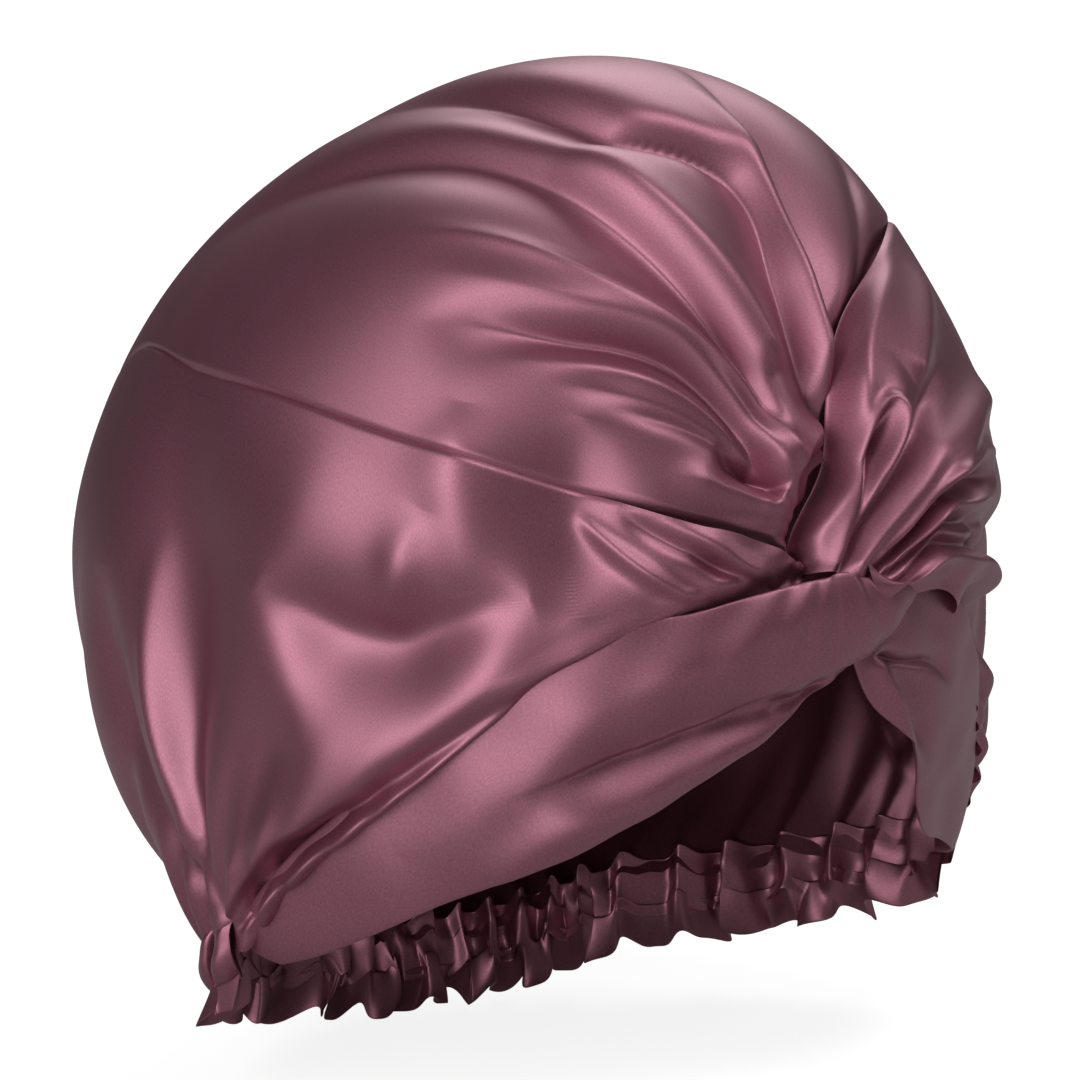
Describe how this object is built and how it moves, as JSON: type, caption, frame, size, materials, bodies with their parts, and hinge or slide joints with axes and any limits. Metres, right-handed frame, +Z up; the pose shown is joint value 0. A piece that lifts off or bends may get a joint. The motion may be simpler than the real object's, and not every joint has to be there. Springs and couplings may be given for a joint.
{
  "type": "sleep bonnet",
  "caption": "Satin sleep bonnet with a full gathered bag, a twisted front where two folded bands cross, and an elastic casing with a frill at the nape.",
  "frame": {"origin": "middle of the head opening, level with the gathers behind the ears, where the bonnet sits on the head", "axes": "+Z up towards the crown, -Y to the front where the twist is, +X to the wearer's left"},
  "size_m": [0.2532, 0.2495, 0.2635],
  "materials": {
    "satin": "satin weave with a soft sheen",
    "band_satin": "folded satin with a soft sheen",
    "hem_satin": "gathered satin over elastic"
  },
  "bodies": {
    "root": {"crown_panel": "satin", "right_side_panel": "satin", "left_side_panel": "satin", "right_front_band": "band_satin", "left_front_band": "band_satin", "nape_casing": "hem_satin", "nape_ruffle": "hem_satin"}
  },
  "joints": []
}
